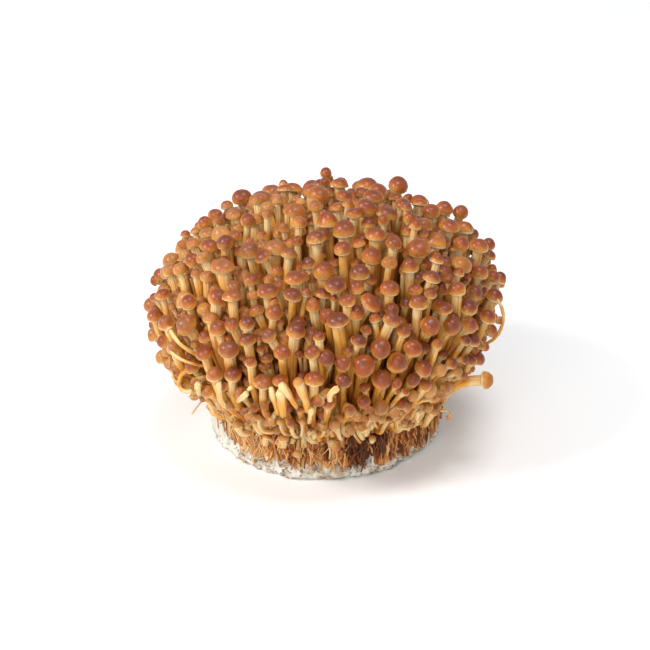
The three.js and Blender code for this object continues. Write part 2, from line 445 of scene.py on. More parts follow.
@dataclass(frozen=True)
class MyceliumCrust:
    """The white crust of mycelium on the cake, speckled where the medium shows through."""

    white: str = "DED8CC"
    tan: str = "B09874"
    speck: str = "5A4632"

    def material(self) -> bpy.types.Material:
        """Builds the material.

        Returns:
            The material.
        """
        sheet = NodeSheet("mycelium_crust")
        point = sheet.point()
        clouds = sheet.grain(point, 90.0, 3.0)
        crumbs = sheet.grain(point, 420.0, 4.0)
        specks = sheet.grain(point, 900.0, 3.0)
        crust = sheet.blend((clouds + crumbs).step(0.94, 1.2) * 0.8, paint(self.white), paint(self.tan))
        crust = sheet.blend((specks + crumbs * 0.5).step(0.75, 0.93) * 0.8, crust, paint(self.speck))
        return sheet.finish(
            {
                "Base Color": crust,
                "Roughness": 0.85,
                "Normal": sheet.relief(crumbs * 0.7 + specks * 0.3, 0.0012),
            }
        )


@dataclass(frozen=True)
class StudioPaper:
    """The plain white surface that the bunch stands on."""

    white: str = "FAFAFA"

    def material(self) -> bpy.types.Material:
        """Builds the material.

        Returns:
            The material.
        """
        sheet = NodeSheet("studio_paper")
        return sheet.finish({"Base Color": paint(self.white), "Roughness": 0.9})


# Camera and studio


@dataclass(frozen=True)
class CameraView:
    """The camera of the photo: where it stands and what it sees. Lengths in millimetres."""

    elevation: float = 26.5
    distance: float = 611.0
    aim: float = 38.0
    lens: float = 100.0
    sensor: float = 36.0
    picture: float = 650.0

    def _towards(self) -> Vector:
        """Gives the direction in which the camera looks."""
        tilt = math.radians(self.elevation)
        return Vector((0.0, math.cos(tilt), -math.sin(tilt)))

    def _station(self) -> Vector:
        """Gives the place of the camera."""
        return Vector((0.0, 0.0, self.aim)) - self._towards() * self.distance

    def ray(self, across: float, down: float) -> tuple[Vector, Vector]:
        """Finds the line of sight of a point of the picture.

        Args:
            across: Pixels from the left edge.
            down: Pixels from the top edge.

        Returns:
            The camera's place and the direction of the line.
        """
        forward = self._towards()
        side = Vector((1.0, 0.0, 0.0))
        upward = side.cross(forward)
        scale = self.sensor / self.lens / self.picture
        middle = self.picture / 2
        line = forward + side * ((across - middle) * scale) + upward * ((middle - down) * scale)
        return self._station(), line.normalized()

    def build(self) -> None:
        """Makes the camera of the scene."""
        lens = bpy.data.cameras.new("photo_camera")
        lens.lens = self.lens
        lens.sensor_width = self.sensor
        lens.clip_end = 20.0
        camera = bpy.data.objects.new("photo_camera", lens)
        camera.location = self._station() * MM
        camera.rotation_euler = self._towards().to_track_quat("-Z", "Y").to_euler()
        bpy.context.scene.collection.objects.link(camera)
        bpy.context.scene.camera = camera


@dataclass(frozen=True)
class Lamp:
    """One round soft lamp: its place and width in metres, and its light in watts."""

    name: str
    place: tuple[float, float, float]
    width: float
    power: float

    def hang(self, facing: Vector) -> None:
        """Hangs the lamp in the scene.

        Args:
            facing: The point that it faces.
        """
        light = bpy.data.lights.new(self.name, "AREA")
        light.shape = "DISK"
        light.size = self.width
        light.energy = self.power
        lamp = bpy.data.objects.new(self.name, light)
        lamp.location = self.place
        lamp.rotation_euler = (facing - Vector(self.place)).to_track_quat("-Z", "Y").to_euler()
        bpy.context.scene.collection.objects.link(lamp)


@dataclass(frozen=True)
class Studio:
    """The white surface, the world's light and the lamps. Lengths in metres."""

    floor_side: float = 3.0
    world_colour: Colour = (0.96, 0.98, 1.0, 1.0)
    world_light: float = 0.58
    lit_height: float = 0.045
    lamps: tuple[Lamp, ...] = (
        Lamp("window", (-0.9, -0.35, 0.85), 0.4, 10.0),
        Lamp("overhead", (0.14, -0.12, 1.2), 0.45, 5.6),
        Lamp("front_fill", (-0.3, -1.1, 0.6), 0.8, 5.2),
    )

    def build(self) -> None:
        """Builds the floor and the lights."""
        shape = bmesh.new()
        bmesh.ops.create_grid(shape, x_segments=1, y_segments=1, size=self.floor_side / 2)
        floor = mesh_object("studio_floor", shape, StudioPaper().material())
        world = bpy.data.worlds.new("studio_world")
        world.use_nodes = True
        background = world.node_tree.nodes["Background"]
        background.inputs["Color"].default_value = self.world_colour
        background.inputs["Strength"].default_value = self.world_light
        bpy.context.scene.world = world
        for lamp in self.lamps:
            lamp.hang(Vector((0.0, 0.0, self.lit_height)))
        bpy.context.scene.view_settings.view_transform = "Standard"


# Meshes


def mesh_object(name: str, shape: bmesh.types.BMesh, material: bpy.types.Material) -> bpy.types.Object:
    """Turns a finished shape into an object at the origin.

    Args:
        name: The object's name.
        shape: The shape, in metres. It is used up.
        material: Its finish.

    Returns:
        The object, smooth-shaded.
    """
    mesh = bpy.data.meshes.new(name)
    shape.to_mesh(mesh)
    shape.free()
    mesh.shade_smooth()
    mesh.materials.append(material)
    made = bpy.data.objects.new(name, mesh)
    bpy.context.scene.collection.objects.link(made)
    return made


class Gathering:
    """Many copies of small shapes, gathered into one piece. Each copy is bent to its own place."""

    def __init__(self, name: str) -> None:
        """Starts an empty piece.

        Args:
            name: The piece's name.
        """
        self.name = name
        self.whole = bmesh.new()
        self.scratch = bpy.data.meshes.new(name + "_copy")

    def add(
        self,
        template: bpy.types.Mesh,
        tone: float,
        pale: float,
        bend: Bend,
        length: float = 1.0,
    ) -> None:
        """Adds one copy of a shape.

        Args:
            template: The shape, with its "place" on each vertex.
            tone: The copy's tone, from 0, dark, to 1, golden: partly its own, partly painted light and
                shade.
            pale: How pale it is, from 0 to 1, painted light included.
            bend: Moves a point of the shape to its place, in millimetres.
            length: What the height of each vertex's place is multiplied by.
        """
        copy = bmesh.new()
        copy.from_mesh(template)
        tones = copy.verts.layers.float["tone"]
        pales = copy.verts.layers.float["pale"]
        places = copy.verts.layers.float_vector["place"]
        for vert in copy.verts:
            vert[tones] = tone
            vert[pales] = pale
            place = vert[places]
            vert[places] = (place.x, place.y, place.z * length)
            vert.co = bend(vert.co)
        copy.to_mesh(self.scratch)
        copy.free()
        self.whole.from_mesh(self.scratch)

    def finish(self, material: bpy.types.Material, levels: int = 0) -> bpy.types.Object:
        """Ends the piece.

        Args:
            material: Its finish.
            levels: How many times its faces are divided and rounded.

        Returns:
            The piece, riding on the part's body.
        """
        bmesh.ops.scale(self.whole, vec=(MM, MM, MM), verts=self.whole.verts)
        piece = mesh_object(self.name, self.whole, material)
        bpy.data.meshes.remove(self.scratch)
        if levels:
            rounding = piece.modifiers.new("rounding", "SUBSURF")
            rounding.levels = levels
            rounding.render_levels = levels
        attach(piece, "root")
        return piece


class CapShape(Enum):
    """How far a cap has opened: its outline from crown to margin, and from there under it to the stem.

    Each point is a radius and a height over the neck, in shares of the cap's radius.
    """

    BUTTON = (
        ((0.0, 0.96), (0.48, 0.89), (0.86, 0.58), (1.0, 0.16), (0.94, -0.14)),
        ((0.72, -0.24), (0.42, -0.08), (0.0, 0.0)),
    )
    DOME = (
        ((0.0, 0.8), (0.5, 0.74), (0.88, 0.46), (1.0, 0.1), (0.98, -0.1)),
        ((0.84, -0.14), (0.42, 0.02), (0.0, 0.1)),
    )
    UMBRELLA = (
        ((0.0, 0.64), (0.5, 0.58), (0.87, 0.34), (1.0, 0.06), (1.0, -0.06)),
        ((0.88, -0.04), (0.42, 0.14), (0.0, 0.2)),
    )
    BELL = (
        ((0.0, 0.98), (0.44, 0.88), (0.78, 0.54), (0.96, 0.12), (1.0, -0.1)),
        ((0.86, -0.12), (0.42, 0.04), (0.0, 0.1)),
    )

    def crown(self) -> float:
        """Gives the height of the crown over the neck, as a share of the cap's radius."""
        return self.value[0][0][1]

    def template(self, sides: int) -> bpy.types.Mesh:
        """Spins the outline into a cap of radius 1.

        Args:
            sides: How many sides it has round its axis.

        Returns:
            The mesh, with how far down the skin each vertex is: 0 on the crown, 1 at the margin, 2 at
            the stem.
        """
        over, under = self.value
        shape = bmesh.new()
        place = add_layers(shape)
        points = []
        for number, (radius, height) in enumerate(over + under):
            vert = shape.verts.new((radius, 0.0, height))
            margin = len(over) - 1
            down = number / margin if number <= margin else 1 + (number - margin) / len(under)
            vert[place] = (radius, 0.0, down)
            points.append(vert)
        for upper, lower in zip(points, points[1:]):
            shape.edges.new((upper, lower))
        bmesh.ops.spin(
            shape,
            geom=shape.verts[:] + shape.edges[:],
            cent=(0.0, 0.0, 0.0),
            axis=(0.0, 0.0, 1.0),
            dvec=(0.0, 0.0, 0.0),
            angle=math.tau,
            steps=sides,
            use_merge=True,
        )
        bmesh.ops.remove_doubles(shape, verts=shape.verts, dist=1e-4)
        bmesh.ops.recalc_face_normals(shape, faces=shape.faces)
        return to_template(self.name.lower() + "_cap", shape)


def add_layers(shape: bmesh.types.BMesh) -> bmesh.types.BMLayerItem:
    """Gives a shape the attributes that the finishes of the mushrooms read.

    Args:
        shape: The shape.

    Returns:
        The layer of each vertex's place on the shape.
    """
    shape.verts.layers.float.new("tone")
    shape.verts.layers.float.new("pale")
    return shape.verts.layers.float_vector.new("place")


def to_template(name: str, shape: bmesh.types.BMesh) -> bpy.types.Mesh:
    """Keeps a shape as a mesh to copy.

    Args:
        name: The mesh's name.
        shape: The shape. It is used up.

    Returns:
        The mesh.
    """
    mesh = bpy.data.meshes.new(name)
    shape.to_mesh(mesh)
    shape.free()
    return mesh


def rod_template(name: str, sides: int, lengths: int) -> bpy.types.Mesh:
    """Makes an upright rod of radius 1 that stands from 0 to 1.

    Args:
        name: The mesh's name.
        sides: How many sides it has.
        lengths: How many lengths it bends in.

    Returns:
        The mesh. Each vertex's place is its direction from the axis and how far below the top it is.
    """
    shape = bmesh.new()
    bmesh.ops.create_cone(
        shape, cap_ends=True, cap_tris=False, segments=sides, radius1=1.0, radius2=1.0, depth=1.0
    )
    bmesh.ops.translate(shape, vec=(0.0, 0.0, 0.5), verts=shape.verts)
    for number in range(1, lengths):
        bmesh.ops.bisect_plane(
            shape,
            geom=shape.verts[:] + shape.edges[:] + shape.faces[:],
            plane_co=(0.0, 0.0, number / lengths),
            plane_no=(0.0, 0.0, 1.0),
        )
    place = add_layers(shape)
    for vert in shape.verts:
        vert[place] = (vert.co.x, vert.co.y, 1.0 - vert.co.z)
    return to_template(name, shape)


# The mushrooms


@dataclass(frozen=True)
class Portrait:
    """A mushroom that stands out in the photo.

    Its cap's middle is given in the photo's pixels, its radius in millimetres, its lean in degrees to
    the right and its nod in degrees towards the camera. A low tone is dark and purplish, a high one
    golden, and a pale one is ochre.
    """

    across: float
    down: float
    cap: float
    lean: float
    shape: CapShape
    tone: float
    pale: float = 0.0
    nod: float = 14.0


PORTRAITS = (
    Portrait(158, 274, 3.2, -50, CapShape.DOME, 0.45),
    Portrait(154, 280, 2.3, -60, CapShape.BUTTON, 0.3),
    Portrait(153, 296, 1.9, -30, CapShape.DOME, 0.5),
    Portrait(162, 341, 2.7, -65, CapShape.BUTTON, 0.6),
    Portrait(181, 244, 2.4, -25, CapShape.BUTTON, 0.8),
    Portrait(192, 259, 3.0, -20, CapShape.BUTTON, 0.6),
    Portrait(204, 221, 2.6, -20, CapShape.BUTTON, 0.55),
    Portrait(215, 213, 2.6, -15, CapShape.DOME, 0.6),
    Portrait(241, 195, 3.9, -10, CapShape.DOME, 0.3),
    Portrait(225, 241, 3.2, 0, CapShape.BUTTON, 0.15),
    Portrait(209, 243, 3.4, 0, CapShape.UMBRELLA, 0.6),
    Portrait(188, 301, 3.1, -10, CapShape.BUTTON, 0.35),
    Portrait(218, 296, 3.7, 10, CapShape.BUTTON, 0.6),
    Portrait(204, 350, 3.6, -8, CapShape.UMBRELLA, 0.35),
    Portrait(248, 219, 2.9, 5, CapShape.BUTTON, 0.35),
    Portrait(261, 254, 3.2, -28, CapShape.UMBRELLA, 0.25),
    Portrait(268, 288, 3.8, 0, CapShape.UMBRELLA, 0.2),
    Portrait(293, 293, 3.1, 4, CapShape.DOME, 0.15),
    Portrait(296, 208, 3.8, 4, CapShape.UMBRELLA, 0.75),
    Portrait(296, 328, 3.6, 6, CapShape.DOME, 0.1),
    Portrait(247, 322, 2.9, 0, CapShape.BUTTON, 0.15),
    Portrait(247, 338, 2.9, -6, CapShape.DOME, 0.1),
    Portrait(233, 373, 3.1, 8, CapShape.BUTTON, 0.2),
    Portrait(251, 361, 2.4, 0, CapShape.BELL, 0.3),
    Portrait(319, 192, 4.0, 8, CapShape.DOME, 0.7),
    Portrait(326, 172, 2.5, 4, CapShape.BUTTON, 0.4),
    Portrait(366, 206, 4.1, 6, CapShape.BUTTON, 0.35),
    Portrait(399, 183, 4.1, 14, CapShape.DOME, 0.45),
    Portrait(419, 246, 4.3, 4, CapShape.DOME, 0.65),
    Portrait(394, 241, 3.0, 4, CapShape.DOME, 0.55),
    Portrait(390, 261, 2.9, 8, CapShape.DOME, 0.9),
    Portrait(461, 211, 3.2, 10, CapShape.BUTTON, 0.65),
    Portrait(490, 243, 2.7, 30, CapShape.BUTTON, 0.5),
    Portrait(464, 262, 3.9, 26, CapShape.UMBRELLA, 0.95),
    Portrait(373, 300, 3.9, 32, CapShape.UMBRELLA, 0.4),
    Portrait(469, 305, 3.5, 8, CapShape.DOME, 0.15),
    Portrait(494, 276, 2.9, 30, CapShape.BUTTON, 0.25),
    Portrait(431, 325, 3.7, 14, CapShape.BUTTON, 0.4, nod=40),
    Portrait(453, 325, 3.5, 22, CapShape.BUTTON, 0.3, nod=40),
    Portrait(381, 347, 3.8, 6, CapShape.DOME, 0.3, nod=40),
    Portrait(364, 365, 4.1, 4, CapShape.DOME, 0.4, nod=52),
    Portrait(398, 362, 3.8, 10, CapShape.BELL, 0.35, nod=52),
    Portrait(414, 347, 3.3, 18, CapShape.DOME, 0.45, nod=40),
    Portrait(382, 379, 3.5, 8, CapShape.BUTTON, 0.35, nod=52),
    Portrait(343, 363, 2.9, 0, CapShape.DOME, 0.3, nod=52),
    Portrait(430, 390, 3.0, 26, CapShape.BUTTON, 1.0, 0.9, nod=64),
    Portrait(447, 387, 2.7, 34, CapShape.DOME, 1.0, 0.8, nod=64),
    Portrait(441, 370, 2.5, 36, CapShape.DOME, 0.9, 0.6, nod=52),
    Portrait(459, 371, 2.3, 46, CapShape.UMBRELLA, 0.9, 0.5, nod=40),
    Portrait(413, 396, 2.4, 20, CapShape.DOME, 0.9, 0.6, nod=64),
    Portrait(480, 357, 3.0, 50, CapShape.DOME, 0.55),
    Portrait(488, 380, 3.3, 80, CapShape.BUTTON, 0.85),
    Portrait(326, 357, 2.9, 0, CapShape.DOME, 0.05, nod=52),
    Portrait(312, 351, 2.9, -6, CapShape.BUTTON, 0.25),
    Portrait(344, 380, 2.8, 0, CapShape.BUTTON, 0.15, nod=52),
    Portrait(397, 383, 2.2, 10, CapShape.BUTTON, 0.6, nod=52),
    Portrait(414, 380, 2.5, 20, CapShape.BUTTON, 0.35, nod=52),
    Portrait(364, 402, 2.5, 4, CapShape.BUTTON, 0.5, nod=64),
    Portrait(381, 408, 2.9, 8, CapShape.DOME, 0.8, 0.3, nod=64),
    Portrait(402, 404, 2.2, 16, CapShape.BUTTON, 0.45, nod=64),
    Portrait(428, 408, 2.3, 30, CapShape.BUTTON, 1.0, 0.9, nod=64),
    Portrait(350, 411, 2.4, -4, CapShape.DOME, 0.75, 0.4, nod=64),
    Portrait(407, 415, 2.0, 14, CapShape.DOME, 0.8, 0.5, nod=64),
    Portrait(280, 378, 2.9, -4, CapShape.UMBRELLA, 0.4),
    Portrait(280, 421, 1.5, 0, CapShape.BUTTON, 0.9, 0.8),
    Portrait(291, 424, 1.7, 0, CapShape.BUTTON, 0.9, 0.7),
    Portrait(302, 421, 1.4, 0, CapShape.BUTTON, 0.9, 0.9),
    Portrait(297, 453, 1.6, 0, CapShape.BUTTON, 0.8, 0.9),
    Portrait(258, 417, 1.6, -6, CapShape.BUTTON, 0.9, 0.5),
)


@dataclass(frozen=True)
class Stray:
    """A cut, curled or dangling stem that the photo shows apart from the rest.

    It follows four points in the photo's pixels, from its foot to its end. Its width and that of its
    cap, if it has one, are radii in millimetres. So are its depth under the head's surface, and how
    much deeper its foot is rooted.
    """

    points: tuple[tuple[float, float], ...]
    width: float
    pale: float
    cap: float = 0.0
    depth: float = 0.0
    rooted: float = 1.5


STRAYS = (
    Stray(((278, 413), (276, 405), (273, 397), (271, 388)), 1.15, 0.5),
    Stray(((283, 414), (282, 406), (281, 398), (281, 391)), 1.6, 0.45),
    Stray(((297, 407), (292, 400), (286, 392), (281, 384)), 1.3, 0.2),
    Stray(((308, 409), (306, 401), (303, 393), (299, 384)), 1.6, 0.45, 2.3),
    Stray(((229, 406), (221, 406), (219, 395), (219, 382)), 1.2, 0.95),
    Stray(((199, 393), (199, 390), (198, 387), (198, 383)), 1.2, 1.0),
    Stray(((238, 401), (241, 398), (244, 396), (247, 393)), 1.0, 1.0),
    Stray(((248, 390), (249, 389), (250, 388), (252, 387)), 0.7, 1.0),
    Stray(((309, 422), (310, 418), (311, 413), (312, 408)), 0.95, 0.9),
    Stray(((309, 434), (311, 430), (315, 432), (314, 438)), 0.9, 1.0, 0.0, -2.0),
    Stray(((203, 400), (198, 405), (195, 409), (192, 414)), 0.3, 0.6, rooted=7.0),
    Stray(((202, 394), (196, 396), (193, 397), (189, 397)), 0.35, 0.4, rooted=7.0),
    Stray(((200, 372), (174, 362), (174, 398), (192, 391)), 0.8, 0.5, rooted=7.0),
    Stray(((418, 423), (417, 420), (418, 417), (418, 412)), 0.8, 1.0),
    Stray(((410, 427), (407, 430), (403, 429), (399, 426)), 0.6, 1.0, 0.0, -1.0),
    Stray(((200, 356), (188, 352), (178, 344), (170, 330)), 0.7, 0.7, 1.5, rooted=7.0),
    Stray(((206, 366), (192, 366), (180, 360), (169, 350)), 0.6, 0.8, rooted=7.0),
    Stray(((204, 384), (188, 388), (172, 384), (172, 372)), 0.7, 0.7, rooted=7.0),
    Stray(((440, 411), (446, 409), (452, 411), (449, 417)), 0.5, 0.5, 1.1, rooted=7.0),
    Stray(((478, 346), (502, 342), (510, 318), (498, 300)), 0.6, 0.5, rooted=7.0),
    Stray(((330, 400), (329, 395), (332, 391), (338, 388)), 1.1, 0.9),
)


@dataclass(frozen=True)
class Layer:
    """Small mushrooms that fill the gaps at one depth. Lengths in millimetres, angles in degrees."""

    count: int
    cap: tuple[float, float]
    depth: tuple[float, float]
    polar: tuple[float, float]
    apart: float
    hangs: bool = False


LAYERS = (
    Layer(count=130, cap=(2.0, 3.2), depth=(2.0, 11.0), polar=(0.0, 70.0), apart=0.78),
    Layer(count=240, cap=(2.1, 3.3), depth=(0.0, 9.0), polar=(0.0, 127.0), apart=0.9),
    Layer(count=230, cap=(1.4, 2.8), depth=(-0.5, 3.0), polar=(99.0, 140.0), apart=0.85, hangs=True),
    Layer(count=160, cap=(1.1, 1.9), depth=(-1.0, 2.5), polar=(112.0, 142.0), apart=0.75, hangs=True),
    Layer(count=400, cap=(1.3, 2.3), depth=(4.0, 22.0), polar=(40.0, 134.0), apart=0.8),
)


@dataclass(frozen=True)
class Head:
    """The rounded surface that the outermost caps reach. Lengths in millimetres."""

    level: float
    radius: float
    rise: float
    drop: float
    lean: float = 0.05
    lowest: float = math.radians(127.0)

    BESIDE_SOLIDS = 1.0
    OVER_SOLIDS = 1.5
    LEVEL_SHARE = 0.56
    DROP_SHARE = 0.85

    @classmethod
    def of_solids(cls) -> "Head":
        """Finds the surface from the box of the tufts' solids.

        Returns:
            The surface, a little larger than the solids.
        """
        corners = [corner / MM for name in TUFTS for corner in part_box(name)]
        wide = max(c.x for c in corners) - min(c.x for c in corners)
        deep = max(c.y for c in corners) - min(c.y for c in corners)
        top = max(c.z for c in corners) + cls.OVER_SOLIDS
        level = cls.LEVEL_SHARE * top
        radius = (wide + deep) / 4 + cls.BESIDE_SOLIDS
        return cls(level=level, radius=radius, rise=top - level, drop=cls.DROP_SHARE * level)

    def _half(self, height: float) -> float:
        """Gives the half height of the surface on the side of its level that a height is on."""
        return self.rise if height > 0 else self.drop

    def _spans(self, point: Vector) -> tuple[float, float]:
        """Gives how far out and up a point lies, as shares of the surface's own half widths."""
        height = point.z - self.level - self.lean * point.x
        return math.hypot(point.x, point.y) / self.radius, height / self._half(height)

    def polar(self, point: Vector) -> float:
        """Gives the angle from the crown at which a point lies."""
        return math.atan2(*self._spans(point))

    def depth(self, point: Vector) -> float:
        """Gives roughly how deep a point lies under the surface."""
        return (1.0 - math.hypot(*self._spans(point))) * self.radius

    def share(self, polar: float) -> float:
        """Gives the share of the surface that lies above an angle from the crown."""
        return min(1.0, (1.0 - math.cos(polar)) / (1.0 - math.cos(self.lowest)))

    def spot(self, polar: float, around: float, depth: float) -> tuple[Vector, Vector]:
        """Finds a point under the surface.

        Args:
            polar: Its angle from the crown.
            around: Its angle round the axis.
            depth: How deep it lies.

        Returns:
            The point and the surface's normal over it.
        """
        half = self._half(math.cos(polar))
        out = outward(around)
        normal = (out * (math.sin(polar) / self.radius) + UP * (math.cos(polar) / half)).normalized()
        point = out * (self.radius * math.sin(polar))
        point.z = self.level + half * math.cos(polar) + self.lean * point.x
        return point - normal * depth, normal

    def seen(self, station: Vector, line: Vector, depth: float) -> Vector:
        """Finds where a line of sight comes to a depth under the surface, or passes it nearest.

        Args:
            station: Where the line starts.
            line: Its direction.
            depth: The depth.

        Returns:
            The point on the line.
        """
        nearest = station
        reach = (station - Vector((0.0, 0.0, self.level))).length
        for step in range(int(reach - self.radius), int(reach + self.radius)):
            point = station + line * step
            if self.depth(point) > self.depth(nearest):
                nearest = point
            if self.depth(point) >= depth:
                break
        return nearest


@dataclass
class Mushroom:
    """One mushroom. Its stem follows a curve of four handles, and its cap sits on the curve's end."""

    handles: tuple[Vector, Vector, Vector, Vector]
    axis: Vector
    cap: float
    stem: float
    shape: CapShape | None
    tone: float
    sway: float
    spin: float
    pale: float = 0.0

    LENGTHS = 24
    MIDDLE_OVER_NECK = 0.4

    def path(self) -> list[Vector]:
        """Gives the points of the curve from root to neck."""
        return interpolate_bezier(*self.handles, self.LENGTHS + 1)

    def neck(self) -> Vector:
        """Gives the point where the stem meets the cap."""
        return self.handles[3]

    def length(self) -> float:
        """Gives the length of the stem."""
        path = self.path()
        return sum((after - before).length for before, after in zip(path, path[1:]))

    def cap_middle(self) -> Vector:
        """Gives the middle of the cap."""
        return self.neck() + self.axis * (self.MIDDLE_OVER_NECK * self.cap)


@dataclass
class Growth:
    """The rules by which a mushroom grows from the cake to the place of its cap.

    Lengths are in millimetres. The lowest mushrooms are golden and pale, from one angle down, and those
    on the left side are made more golden and paler as painted light.
    """

    head: Head
    dice: random.Random
    root_height: float = 16.0
    root_radius: float = 37.5
    root_turn: float = 0.07
    spread: float = 1.2
    lean: float = 0.3
    rise: float = 0.28
    reach: float = 0.45
    stem_share: tuple[float, float] = (0.36, 0.52)
    low_from: float = 106.0
    low_span: float = 18.0
    small_cap: float = 2.6

    def between(self, low: float, high: float) -> float:
        """Draws a number between two."""
        return self.dice.uniform(low, high)

    def direction_near(self, axis: Vector, spread: float) -> Vector:
        """Tilts a direction a little, at random.

        Args:
            axis: The direction.
            spread: The most that it may turn, in degrees.

        Returns:
            The tilted direction.
        """
        side = axis.orthogonal().normalized()
        side.rotate(Quaternion(axis, self.between(0.0, math.tau)))
        tilted = axis.copy()
        tilted.rotate(Quaternion(side, math.radians(spread) * self.dice.random()))
        return tilted

    def mushroom(
        self, neck: Vector, axis: Vector, cap: float, shape: CapShape, root_share: float
    ) -> Mushroom:
        """Grows one mushroom.

        Args:
            neck: Where its cap sits.
            axis: The direction in which the cap faces.
            cap: The cap's radius.
            shape: How far the cap has opened.
            root_share: How far out it starts, as a share of the cake's radius.

        Returns:
            The mushroom.
        """
        around = math.atan2(neck.y, neck.x)
        foot = around + self.between(-self.root_turn, self.root_turn)
        out = outward(around)
        radius = self.root_radius * min(1.0, self.spread * root_share)
        root = Vector((radius * math.cos(foot), radius * math.sin(foot), self.root_height))
        length = (neck - root).length
        after_root = root + out * (self.lean * length) + UP * (self.rise * length)
        before_neck = neck - axis * (self.reach * length)
        # left: how far round to the left side the mushroom stands. Its tone and paleness are raised there
        # as painted light, so caps on the left turn more golden and stems paler, and those on the right
        # stay darker.
        left = max(0.0, -math.cos(around))
        low = clamped((math.degrees(self.head.polar(neck)) - self.low_from) / self.low_span)
        tone = clamped(self.dice.gauss(0.4 + 0.26 * left + 0.4 * low, 0.2))
        return Mushroom(
            handles=(root, after_root, before_neck, neck),
            axis=axis,
            cap=cap,
            stem=cap * self.between(*self.stem_share),
            shape=shape,
            tone=tone,
            sway=self.between(0.3, 1.0),
            spin=self.between(0.0, math.tau),
            pale=min(1.0, low * self.between(0.1, 0.9) + left * self.between(0.0, 0.45)),
        )

    def stage(self, cap: float) -> CapShape:
        """Chooses how far a cap has opened: most of the small ones are buttons.

        Args:
            cap: The cap's radius.

        Returns:
            The stage that it has reached.
        """
        shapes = (CapShape.BUTTON, CapShape.DOME, CapShape.UMBRELLA, CapShape.BELL)
        weights = (60, 20, 8, 12) if cap < self.small_cap else (28, 38, 22, 12)
        return self.dice.choices(shapes, weights=weights)[0]


class Room:
    """The room that caps and stems take up, kept as balls."""

    def __init__(self) -> None:
        """Starts with no room taken."""
        self.caps = np.empty((0, 4))
        self.stems = np.empty((0, 4))

    def take(self, mushroom: Mushroom) -> None:
        """Marks a mushroom's room as taken.

        Args:
            mushroom: The mushroom.
        """
        cap = [(*mushroom.cap_middle(), mushroom.cap)]
        stem = [(*point, mushroom.stem) for point in mushroom.path()]
        self.caps = np.vstack([self.caps, cap])
        self.stems = np.vstack([self.stems, stem])

    def _clear(self, balls: np.ndarray, points: np.ndarray, radius: float, share: float) -> bool:
        """Tests whether new balls keep apart from balls that are there.

        Args:
            balls: The balls that are there, each as its middle and its radius.
            points: The middles of the new ones.
            radius: The radius of the new ones.
            share: The share of their radii that two have to keep apart.

        Returns:
            Whether they all do.
        """
        if not len(balls):
            return True
        apart = np.linalg.norm(points[:, None, :] - balls[None, :, :3], axis=2)
        return bool((apart >= share * (radius + balls[:, 3])).all())

    def caps_apart(self, mushroom: Mushroom, share: float) -> bool:
        """Tests whether a mushroom's cap is clear of all caps."""
        return self._clear(self.caps, np.array([mushroom.cap_middle()]), mushroom.cap, share)

    def free(self, mushroom: Mushroom, share: float) -> bool:
        """Tests whether there is room for a mushroom.

        Args:
            mushroom: The mushroom.
            share: The share of their radii that two bodies have to keep apart.

        Returns:
            Whether its cap is clear of all caps and stems, and its stem of all caps.
        """
        middle = np.array([mushroom.cap_middle()])
        if not self.caps_apart(mushroom, share):
            return False
        if not self._clear(self.stems, middle, mushroom.cap, share):
            return False
        path = np.array([tuple(point) for point in mushroom.path()[4:-3]])
        return self._clear(self.caps, path, mushroom.stem, share)


